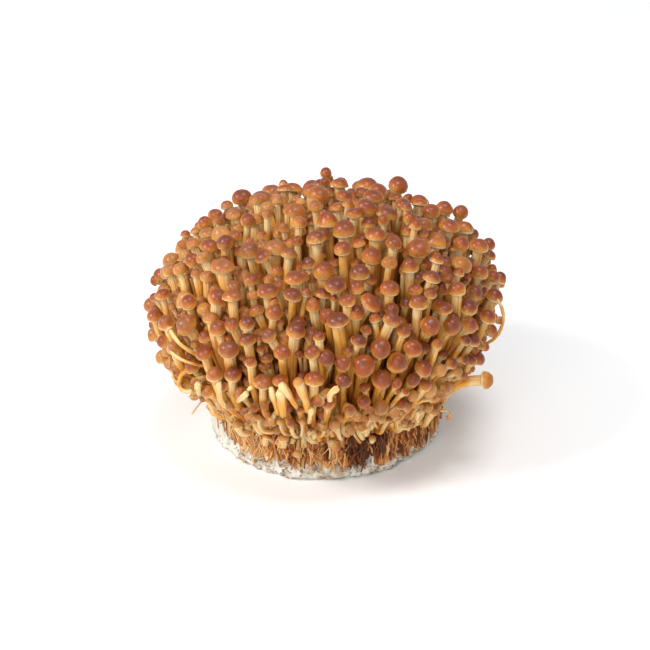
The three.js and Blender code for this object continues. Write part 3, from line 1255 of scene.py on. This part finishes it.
@dataclass
class Planting:
    """Places all mushrooms: those that stand out in the photo, those of the solids, and small ones.

    A crown of the solids is a vertex over a ring of six others, whose radius is a share of the cap's
    and whose drop is a share of that radius. Angles are degrees from the top of the head.
    """

    growth: Growth
    view: CameraView
    tries_each: int = 35
    cap_shrink: tuple[float, float] = (0.8, 0.93)
    low_from: float = 80.0
    low_span: float = 45.0
    low_shrink: float = 0.35
    facing_spread: float = 16.0
    fringe_count: int = 300
    fringe_cut: float = 0.22
    fringe_curl: float = 0.2
    mushrooms: list[Mushroom] = field(default_factory=list)
    room: Room = field(default_factory=Room)

    RING = 6
    RING_WIDTH = 0.8
    RING_DROP = 0.6
    RING_SLACK = 0.01

    def plant(self) -> list[Mushroom]:
        """Places the mushrooms in order of their weight in the picture.

        Returns:
            All mushrooms.
        """
        for portrait in PORTRAITS:
            self._keep(self._as_seen(portrait))
        log.info("%d mushrooms follow the photo", len(self.mushrooms))
        for name in TUFTS:
            for mushroom in self._of_solid(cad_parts[name]):
                if self.room.free(mushroom, 0.8):
                    self._keep(mushroom)
        log.info("%d mushrooms with those of the solids", len(self.mushrooms))
        for layer in LAYERS:
            self._fill(layer)
            log.info("%d mushrooms with one more layer of small ones", len(self.mushrooms))
        for stray in STRAYS:
            self._keep(self._as_strayed(stray))
        for _ in range(self.fringe_count):
            self._keep(self._fringe_pin())
        return self.mushrooms

    def _keep(self, mushroom: Mushroom) -> None:
        """Keeps a mushroom and its room."""
        self.mushrooms.append(mushroom)
        self.room.take(mushroom)

    def _as_seen(self, portrait: Portrait) -> Mushroom:
        """Grows a mushroom whose cap is where the photo shows it.

        Args:
            portrait: What the photo shows of it.

        Returns:
            The mushroom.
        """
        growth = self.growth
        station, line = self.view.ray(portrait.across, portrait.down)
        middle = growth.head.seen(station, line, portrait.cap)
        lean = math.radians(portrait.lean)
        nod = math.radians(portrait.nod)
        axis = Vector((math.sin(lean), -math.tan(nod), math.cos(lean))).normalized()
        share = math.sqrt(growth.head.share(growth.head.polar(middle)))
        neck = middle - axis * (Mushroom.MIDDLE_OVER_NECK * portrait.cap)
        mushroom = growth.mushroom(neck, axis, portrait.cap, portrait.shape, share)
        mushroom.tone = portrait.tone
        mushroom.pale = portrait.pale
        return mushroom

    def _as_strayed(self, stray: Stray) -> Mushroom:
        """Lays a stray stem where the photo shows it.

        Args:
            stray: What the photo shows of it.

        Returns:
            The stem, with its cap if it has one.
        """
        growth = self.growth
        depths = (stray.depth + stray.rooted, stray.depth, stray.depth, stray.depth)
        handles = tuple(
            growth.head.seen(*self.view.ray(*point), depth) for point, depth in zip(stray.points, depths)
        )
        return Mushroom(
            handles=handles,
            axis=(handles[3] - handles[2]).normalized(),
            cap=stray.cap or stray.width,
            stem=stray.width,
            shape=CapShape.BUTTON if stray.cap else None,
            tone=0.85,
            sway=0.2,
            spin=growth.between(0.0, math.tau),
            pale=stray.pale,
        )

    def _of_solid(self, node: bpy.types.Object) -> Iterator[Mushroom]:
        """Finds the mushrooms of a tuft's solid by their crowns.

        Args:
            node: The tuft.

        Yields:
            A mushroom with its crown where the solid has one.
        """
        solid = bmesh.new()
        solid.from_mesh(node.data)
        bmesh.ops.scale(solid, vec=(1 / MM, 1 / MM, 1 / MM), verts=solid.verts)
        bmesh.ops.remove_doubles(solid, verts=solid.verts, dist=1e-3)
        for vert in solid.verts:
            ring = [edge.other_vert(vert).co for edge in vert.link_edges]
            if len(ring) != self.RING:
                continue
            middle = sum(ring, Vector()) / self.RING
            spans = [(corner - middle).length for corner in ring]
            uneven = max(spans) - min(spans)
            drop = (vert.co - middle).length / spans[0]
            if uneven > self.RING_SLACK or abs(drop - self.RING_DROP) > self.RING_SLACK:
                continue
            axis = (vert.co - middle).normalized()
            yield self._like_solid(vert.co.copy(), axis, spans[0] / self.RING_WIDTH)
        solid.free()

    def _like_solid(self, crown: Vector, axis: Vector, cap: float) -> Mushroom:
        """Grows a mushroom whose crown is where a solid one has it.

        Args:
            crown: The top of the solid cap.
            axis: The direction in which it faces.
            cap: Its radius.

        Returns:
            The mushroom, smaller than the solid one and more upright.
        """
        growth = self.growth
        polar = growth.head.polar(crown)
        low = clamped((math.degrees(polar) - self.low_from) / self.low_span)
        size = cap * growth.between(*self.cap_shrink) * (1.0 - self.low_shrink * low)
        shape = growth.stage(size)
        share = growth.head.share(polar)
        facing = growth.direction_near((axis + UP).normalized(), self.facing_spread)
        neck = crown - facing * (shape.crown() * size)
        return growth.mushroom(neck, facing, size, shape, math.sqrt(share))

    def _fill(self, layer: Layer) -> None:
        """Fills the gaps between the caps with small mushrooms.

        Args:
            layer: How many there are, of what size and where.
        """
        growth = self.growth
        head = growth.head
        top, bottom = (math.cos(math.radians(polar)) for polar in layer.polar)
        wanted = len(self.mushrooms) + layer.count
        for _ in range(layer.count * self.tries_each):
            if len(self.mushrooms) == wanted:
                return
            polar = math.acos(growth.between(bottom, top))
            around = growth.between(-math.pi, math.pi)
            cap = growth.between(*layer.cap)
            spot, normal = head.spot(polar, around, cap + growth.between(*layer.depth))
            upright, turn = (0.3, 50.0) if layer.hangs else (0.65, 20.0)
            axis = growth.direction_near((normal * (1.0 - upright) + UP * upright).normalized(), turn)
            share = math.sqrt(head.share(polar)) * growth.between(0.88, 1.0)
            young = growth.mushroom(spot, axis, cap, growth.stage(cap), share)
            fits = self.room.caps_apart if layer.hangs else self.room.free
            if fits(young, layer.apart):
                self._keep(young)

    def _fringe_pin(self) -> Mushroom:
        """Grows a short pin, or a cut or curled stem, that hangs out over the edge of the cake.

        Returns:
            The pin or stem.
        """
        growth = self.growth
        out = outward(growth.between(-math.pi, math.pi))
        beside = out.cross(UP)
        kind = growth.dice.random()
        is_cut = kind < self.fringe_cut
        is_curl = kind > 1.0 - self.fringe_curl
        root = out * growth.root_radius + UP * growth.between(13.0, 22.0)
        rise = growth.between(1.0, 10.0)
        neck = root + out * growth.between(2.5, 8.0 if rise > 4.0 else 5.0) + UP * rise
        neck += beside * growth.between(-3.5, 3.5)
        axis = growth.direction_near((out * 0.5 + UP).normalized(), 110.0 if is_curl else 50.0)
        size = growth.between(1.1, 2.5)
        stem = growth.between(0.8, 1.4) if is_cut else size * growth.between(0.4, 0.62)
        length = (neck - root).length
        return Mushroom(
            handles=(root, root + out * (0.6 * length), neck - axis * (0.6 * length), neck),
            axis=axis,
            cap=size,
            stem=stem,
            shape=None if is_cut else growth.stage(size),
            tone=growth.between(0.55, 1.0),
            sway=growth.between(0.1, 0.6),
            spin=growth.between(0.0, math.tau),
            pale=growth.between(0.5, 1.0) if is_cut else growth.between(0.0, 0.9),
        )


@dataclass
class MushroomBunch:
    """The mushrooms of the bunch, in pieces that stand for the tufts' solids."""

    mushrooms: list[Mushroom]
    cap_sides: int = 8
    small_cap_sides: int = 6
    small_cap: float = 2.5
    stem_sides: int = 8
    stem_lengths: int = 8

    def build(self) -> None:
        """Builds the caps and the stems of each tuft."""
        cap_skin = CapSkin().material()
        stem_flesh = StemFlesh().material()
        caps = {shape: shape.template(self.cap_sides) for shape in CapShape}
        small_caps = {shape: shape.template(self.small_cap_sides) for shape in CapShape}
        rod = rod_template("stem", self.stem_sides, self.stem_lengths)
        for name in TUFTS:
            members = [m for m in self.mushrooms if self._tuft_of(m) == name]
            cap_piece = Gathering(name + "_caps")
            stem_piece = Gathering(name + "_stems")
            for mushroom in members:
                look = (mushroom.tone, mushroom.pale)
                if mushroom.shape:
                    kept = small_caps if mushroom.cap < self.small_cap else caps
                    cap_piece.add(kept[mushroom.shape], *look, self._cap_bend(mushroom))
                stem_piece.add(rod, *look, self._stem_bend(mushroom), mushroom.length())
            for piece in (cap_piece.finish(cap_skin, 1), stem_piece.finish(stem_flesh)):
                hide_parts(name)
                log.info("%s: %d mushrooms", piece.name, len(members))
        for mesh in (*caps.values(), *small_caps.values(), rod):
            bpy.data.meshes.remove(mesh)

    def _tuft_of(self, mushroom: Mushroom) -> str:
        """Names the tuft in which a mushroom stands.

        Args:
            mushroom: The mushroom.

        Returns:
            The name of the tuft's node.
        """
        root = mushroom.handles[0]
        around = math.degrees(math.atan2(root.y, root.x))
        return TUFTS[sum(around >= wall for wall in TUFT_WALLS) - 1]

    def _cap_bend(self, mushroom: Mushroom) -> Bend:
        """Gives the bend that sets a cap on its neck, a little uneven, as grown ones are.

        Args:
            mushroom: The cap's mushroom.

        Returns:
            The bend.
        """
        turn = UP.rotation_difference(mushroom.axis) @ Quaternion(UP, mushroom.spin)
        drift = Vector((mushroom.spin * 7.0, mushroom.tone * 11.0, mushroom.sway * 5.0))
        squash = 1.0 + 0.12 * (mushroom.sway - 0.45)

        def bend(point: Vector) -> Vector:
            """Moves a point of the cap's template to its place.

            Args:
                point: A point of the template.

            Returns:
                Its place on the cap.
            """
            swell = 1.0 + 0.13 * noise.noise(point * 1.1 + drift)
            local = Vector((point.x * squash, point.y / squash, point.z)) * swell
            return mushroom.neck() + turn @ (local * mushroom.cap)

        return bend

    def _stem_bend(self, mushroom: Mushroom) -> Bend:
        """Gives the bend that lays a rod along a mushroom's stem.

        Args:
            mushroom: The stem's mushroom.

        Returns:
            The bend.
        """
        path = mushroom.path()
        last = len(path) - 1
        tip = 1.0 if mushroom.shape else 0.6
        drift = Vector((mushroom.spin * 5.0, mushroom.tone * 13.0, mushroom.sway * 9.0))

        def bend(point: Vector) -> Vector:
            """Moves a point of the rod to its place on the stem.

            Args:
                point: A point of the rod.

            Returns:
                Its place on the stem.
            """
            share = clamped(point.z)
            number = min(int(share * last), last - 1)
            part = share * last - number
            middle = path[number].lerp(path[number + 1], part)
            along = (path[number + 1] - path[number]).normalized()
            wander = noise.noise_vector(drift + UP * (share * 2.2)) * mushroom.sway
            middle = middle + wander * (1.6 * math.sin(math.pi * share))
            swell = 0.8 + 0.25 * share + 0.25 * noise.noise(drift * 1.7 + UP * (share * 3.0))
            side = Vector((point.x, point.y, 0.0)) * (mushroom.stem * swell)
            if point.z > 0.999:
                middle = middle + mushroom.axis * (0.25 * mushroom.cap)
                side = side * tip
            return middle + UP.rotation_difference(along) @ side

        return bend


# The cake


@dataclass
class GrowingCake:
    """The cake of growing medium: its crust, and the butts of old stems matted over its side.

    Lengths are in millimetres. Round one angle the crust climbs up the side, round another the mat
    has its largest cavity, and round a third the crust's lower edge is chipped.
    """

    dice: random.Random
    mat_radius: float = 39.6
    mat_foot: float = 3.5
    mat_top: float = 25.0
    mat_sides: int = 200
    mat_lengths: int = 16
    butt_count: int = 1000
    butt_sides: int = 5
    butt_lengths: int = 5
    butt_length: tuple[float, float] = (4.0, 12.0)
    butt_width: tuple[float, float] = (0.16, 0.45)
    butt_top: float = 22.0
    crust_height: float = 4.9
    crust_cuts: int = 3
    climb_angle: float = math.radians(195.0)
    climb_width: float = math.radians(20.0)
    climb_height: float = 11.0
    cavity_angle: float = math.radians(-74.0)
    cavity_width: float = math.radians(16.0)
    cavity_depth: float = 3.5
    cavity_bite: float = 2.5
    chip_angle: float = math.radians(-47.0)
    chip_width: float = math.radians(4.0)
    chip_depth: float = 2.5
    chip_height: float = 4.0

    def build(self) -> None:
        """Builds the crust, the mat and the loose butts."""
        crust = self._crust()
        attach(crust, "root")
        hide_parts(CAKE)
        log.info("%s: %d faces", crust.name, len(crust.data.polygons))
        finish = MattedButts().material()
        for piece in (self._mat(finish), self._butts(finish)):
            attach(piece, "root")
            log.info("%s: %d faces", piece.name, len(piece.data.polygons))

    def _white_at(self, point: Vector) -> float:
        """Tells how white a point of the side is with crust.

        Args:
            point: The point.

        Returns:
            The share of white there, from 0 to 1.
        """
        edge = self.crust_height + self.climb_height * nearness(point, self.climb_angle, self.climb_width)
        edge += 3.0 * noise.noise(point * 0.16) + 1.6 * noise.noise(point * 0.6)
        edge -= self.cavity_bite * nearness(point, self.cavity_angle, self.cavity_width)
        return clamped(0.5 + 0.6 * (edge - point.z))

    def _cavity_at(self, point: Vector) -> float:
        """Tells how deep the gaps between the butts are at a point of the side.

        Args:
            point: The point.

        Returns:
            The share of the full depth there, from 0 to 1.
        """
        upright = Vector((point.x, point.y, 0.45 * point.z))
        pits = noise.noise(upright * 0.3) + 0.6 * noise.noise(upright * 0.7)
        largest = 0.6 * nearness(point, self.cavity_angle, self.cavity_width)
        return clamped(2.6 * (pits + largest - 0.22))

    def _tone_and_painted_shade_at(self, point: Vector) -> float:
        """Tells how light the mat is painted at a point: darker in the cavities as painted shade, and
        lighter to the left as painted light.
        """
        return 0.5 - 0.2 * point.x / self.mat_radius - 0.9 * self._cavity_at(point)

    def _chip_at(self, point: Vector) -> float:
        """Tells how far the crust's lower edge is chipped off at a point, from 0 to 1."""
        low = max(0.0, 1.0 - point.z / self.chip_height)
        return nearness(point, self.chip_angle, self.chip_width) * low

    def _crust(self) -> bpy.types.Object:
        """Roughens a copy of the cake's solid into crumbly crust.

        Returns:
            The crust.
        """
        shape = bmesh.new()
        shape.from_mesh(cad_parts[CAKE].data)
        bmesh.ops.remove_doubles(shape, verts=shape.verts, dist=1e-6)
        bmesh.ops.subdivide_edges(shape, edges=shape.edges, cuts=self.crust_cuts, use_grid_fill=True)
        for vert in shape.verts:
            point = vert.co / MM
            out = Vector((point.x, point.y, 0.0)).normalized()
            lump = 0.7 * noise.noise(point * 0.35) + 0.8 * noise.noise(point * 1.1)
            lump -= self.chip_depth * self._chip_at(point)
            behind_mat = clamped((point.z - self.mat_foot) / 2.0)
            lump -= (self.cavity_depth + 1.5) * self._cavity_at(point) * behind_mat
            lift = 1.2 * noise.noise(point * 0.5) if point.z > 0.5 else 0.0
            vert.co = (point + out * lump + UP * lift) * MM
        return mesh_object("cake_crust", shape, MyceliumCrust().material())

    def _mat(self, finish: bpy.types.Material) -> bpy.types.Object:
        """Models the mat itself: a drum whose side is drawn out into upright ridges.

        Args:
            finish: Its finish.

        Returns:
            The mat.
        """
        template = rod_template("mat", self.mat_sides, self.mat_lengths)
        shape = bmesh.new()
        shape.from_mesh(template)
        bpy.data.meshes.remove(template)
        pales = shape.verts.layers.float["pale"]
        tones = shape.verts.layers.float["tone"]
        for vert in shape.verts:
            height = self.mat_foot + (self.mat_top - self.mat_foot) * vert.co.z
            side = Vector((vert.co.x, vert.co.y, 0.0)) * self.mat_radius
            ridges = Vector((side.x, side.y, 0.14 * height))
            swell = noise.noise(ridges * 1.2) + 1.2 * noise.noise(ridges * 0.25)
            point = side + UP * height
            cavity = self._cavity_at(point)
            # In the cavities the mat is made less white, and its tone is lowered as painted shade and
            # raised to the left as painted light.
            vert[pales] = self._white_at(point) - cavity
            vert[tones] = self._tone_and_painted_shade_at(point)
            vert.co = (point + side.normalized() * (swell - 0.5 - self.cavity_depth * cavity)) * MM
        return mesh_object("matted_side", shape, finish)

    def _butts(self, finish: bpy.types.Material) -> bpy.types.Object:
        """Lays loose thin butts over the mat.

        Args:
            finish: Their finish.

        Returns:
            The butts, as one piece.
        """
        piece = Gathering("loose_butts")
        rod = rod_template("butt", self.butt_sides, self.butt_lengths)
        for _ in range(self.butt_count):
            out = outward(self.dice.uniform(0.0, math.tau))
            length = self.dice.uniform(*self.butt_length)
            foot = self.dice.uniform(self.mat_foot, self.butt_top - length)
            start = out * (self.mat_radius + self.dice.uniform(-0.6, 0.8)) + UP * foot
            if self._white_at(start + UP * 2.0) > 0.6:
                continue
            lean = self.dice.gauss(0.0, 0.1)
            end = Quaternion(UP, lean) @ start + UP * length
            width = self.dice.uniform(*self.butt_width)
            # Each butt takes the mat's painted shade and light at its middle, on top of its own random
            # tone.
            tone = self.dice.uniform(-0.4, 0.4) + self._tone_and_painted_shade_at(start.lerp(end, 0.5))
            piece.add(rod, tone, 0.0, self._butt_bend(start, end, width))
        bpy.data.meshes.remove(rod)
        return piece.finish(finish)

    def _butt_bend(self, start: Vector, end: Vector, width: float) -> Bend:
        """Gives the bend that lays a rod between two points of the mat.

        Args:
            start: Its lower end.
            end: Its upper end.
            width: Its radius.

        Returns:
            The bend.
        """
        drift = start * 0.7

        def bend(point: Vector) -> Vector:
            """Moves a point of the rod to its place on the mat.

            Args:
                point: A point of the rod.

            Returns:
                Its place on the mat.
            """
            middle = start.lerp(end, point.z) + noise.noise_vector(drift + UP * point.z * 2.0)
            taper = width * (1.0 - 0.5 * abs(point.z - 0.5))
            return middle + Vector((point.x, point.y, 0.0)) * taper

        return bend


def main() -> None:
    """Builds the scene in order."""
    logging.basicConfig(level=logging.INFO, format="%(name)s: %(message)s")
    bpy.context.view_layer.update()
    view = CameraView()
    view.build()
    Studio().build()
    # Without a seed the offsets of Blender's noise vectors differ from run to run.
    noise.seed_set(SEED)
    dice = random.Random(SEED)
    growth = Growth(Head.of_solids(), dice)
    mushrooms = Planting(growth, view).plant()
    MushroomBunch(mushrooms).build()
    GrowingCake(dice).build()


if __name__ == "__main__":
    main()
